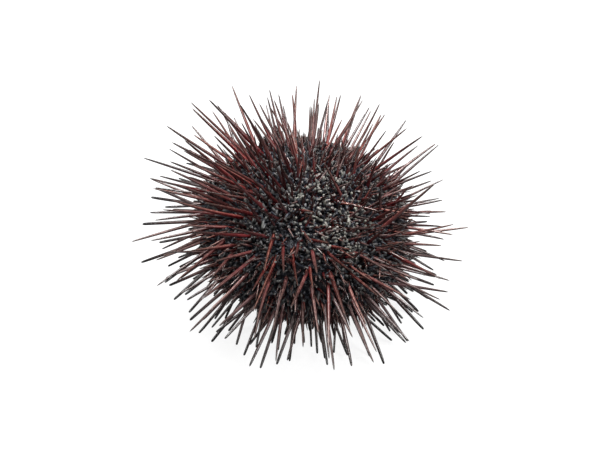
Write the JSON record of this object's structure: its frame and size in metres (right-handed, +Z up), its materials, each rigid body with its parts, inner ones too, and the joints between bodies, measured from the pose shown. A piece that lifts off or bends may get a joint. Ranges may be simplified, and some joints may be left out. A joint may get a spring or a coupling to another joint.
{
  "type": "sea urchin",
  "caption": "Whole sea urchin, uncut: low domed shell densely covered in long tapered spines, standing on its lower spine tips.",
  "frame": {"origin": "on the surface the urchin stands on, under the middle of its outline", "axes": "+Z up from the mouth side to the domed side, +Y away from the picture's camera, +X to the picture's right, where the shell leans lower"},
  "size_m": [0.092, 0.0908, 0.0552],
  "materials": {
    "urchin": "satin"
  },
  "bodies": {
    "root": {"sea_urchin": "urchin"}
  },
  "joints": []
}
